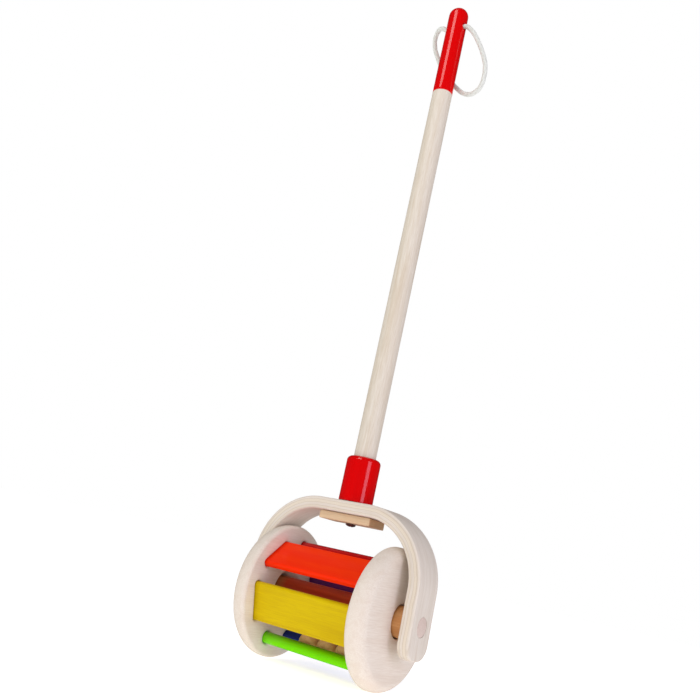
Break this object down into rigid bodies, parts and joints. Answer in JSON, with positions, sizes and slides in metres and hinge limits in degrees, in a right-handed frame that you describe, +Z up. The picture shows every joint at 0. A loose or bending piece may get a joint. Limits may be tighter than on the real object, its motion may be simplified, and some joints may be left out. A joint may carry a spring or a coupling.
{
  "type": "push-along walking roller toy",
  "caption": "Wooden push-along toy roller: disc wheels joined by coloured slats and dowels hold rattling balls, under a bent plywood yoke with a long push stick and hanging rope.",
  "frame": {"origin": "on the floor, straight under the middle of the axle and of the yoke", "axes": "+X along the axle to the right leg, +Y away from the toy's front, -Y the way it is pushed, +Z up along the upright stick"},
  "size_m": [0.137, 0.0912, 0.5328],
  "materials": {
    "bare_wood": "clear matt oil",
    "plywood": "sanded plywood, clear matt",
    "core_wood": "plain sanded",
    "ball_wood": "clear satin",
    "red_lacquer": "gloss lacquer",
    "orange_stain": "stained and lacquered",
    "yellow_stain": "stained and lacquered",
    "purple_stain": "stained and lacquered",
    "blue_stain": "stained and lacquered",
    "green_lacquer": "gloss lacquer",
    "screw_steel": "plated",
    "cotton_rope": "braided cotton"
  },
  "bodies": {
    "frame": {"stick": "bare_wood", "collar": "red_lacquer", "yoke": "plywood", "clamp_plate": "core_wood", "clamp_screw": "screw_steel", "axle_core": "core_wood", "leg_plug_left": "bare_wood", "leg_plug_right": "bare_wood", "hang_rope": "cotton_rope"},
    "roller": {"wheel_left": "bare_wood", "wheel_right": "bare_wood", "slat_orange": "orange_stain", "slat_yellow": "yellow_stain", "slat_purple": "purple_stain", "slat_blue": "blue_stain", "dowel_red": "red_lacquer", "dowel_green": "green_lacquer"},
    "ball_1": {"ball_1": "ball_wood"},
    "ball_2": {"ball_2": "ball_wood"},
    "ball_3": {"ball_3": "ball_wood"},
    "ball_4": {"ball_4": "ball_wood"}
  },
  "joints": [
    {"name": "roller_spin", "type": "hinge", "parent": "frame", "child": "roller", "pos_m": [0, 0, 0.0456], "axis": [1, 0, 0], "continuous": true},
    {"name": "ball_1_slide", "type": "slide", "parent": "roller", "child": "ball_1", "axis": [-1, 0, 0], "range_m": [0, 0.0198]},
    {"name": "ball_2_slide", "type": "slide", "parent": "roller", "child": "ball_2", "axis": [-1, 0, 0], "range_m": [0, 0.0198]},
    {"name": "ball_3_slide", "type": "slide", "parent": "roller", "child": "ball_3", "axis": [-1, 0, 0], "range_m": [0, 0.0198]},
    {"name": "ball_4_slide", "type": "slide", "parent": "roller", "child": "ball_4", "axis": [-1, 0, 0], "range_m": [0, 0.0198]}
  ],
  "couplings": [
    {"joint": "ball_2_slide", "follows": "ball_1_slide", "ratio": 1},
    {"joint": "ball_3_slide", "follows": "ball_1_slide", "ratio": 1},
    {"joint": "ball_4_slide", "follows": "ball_1_slide", "ratio": 1}
  ]
}
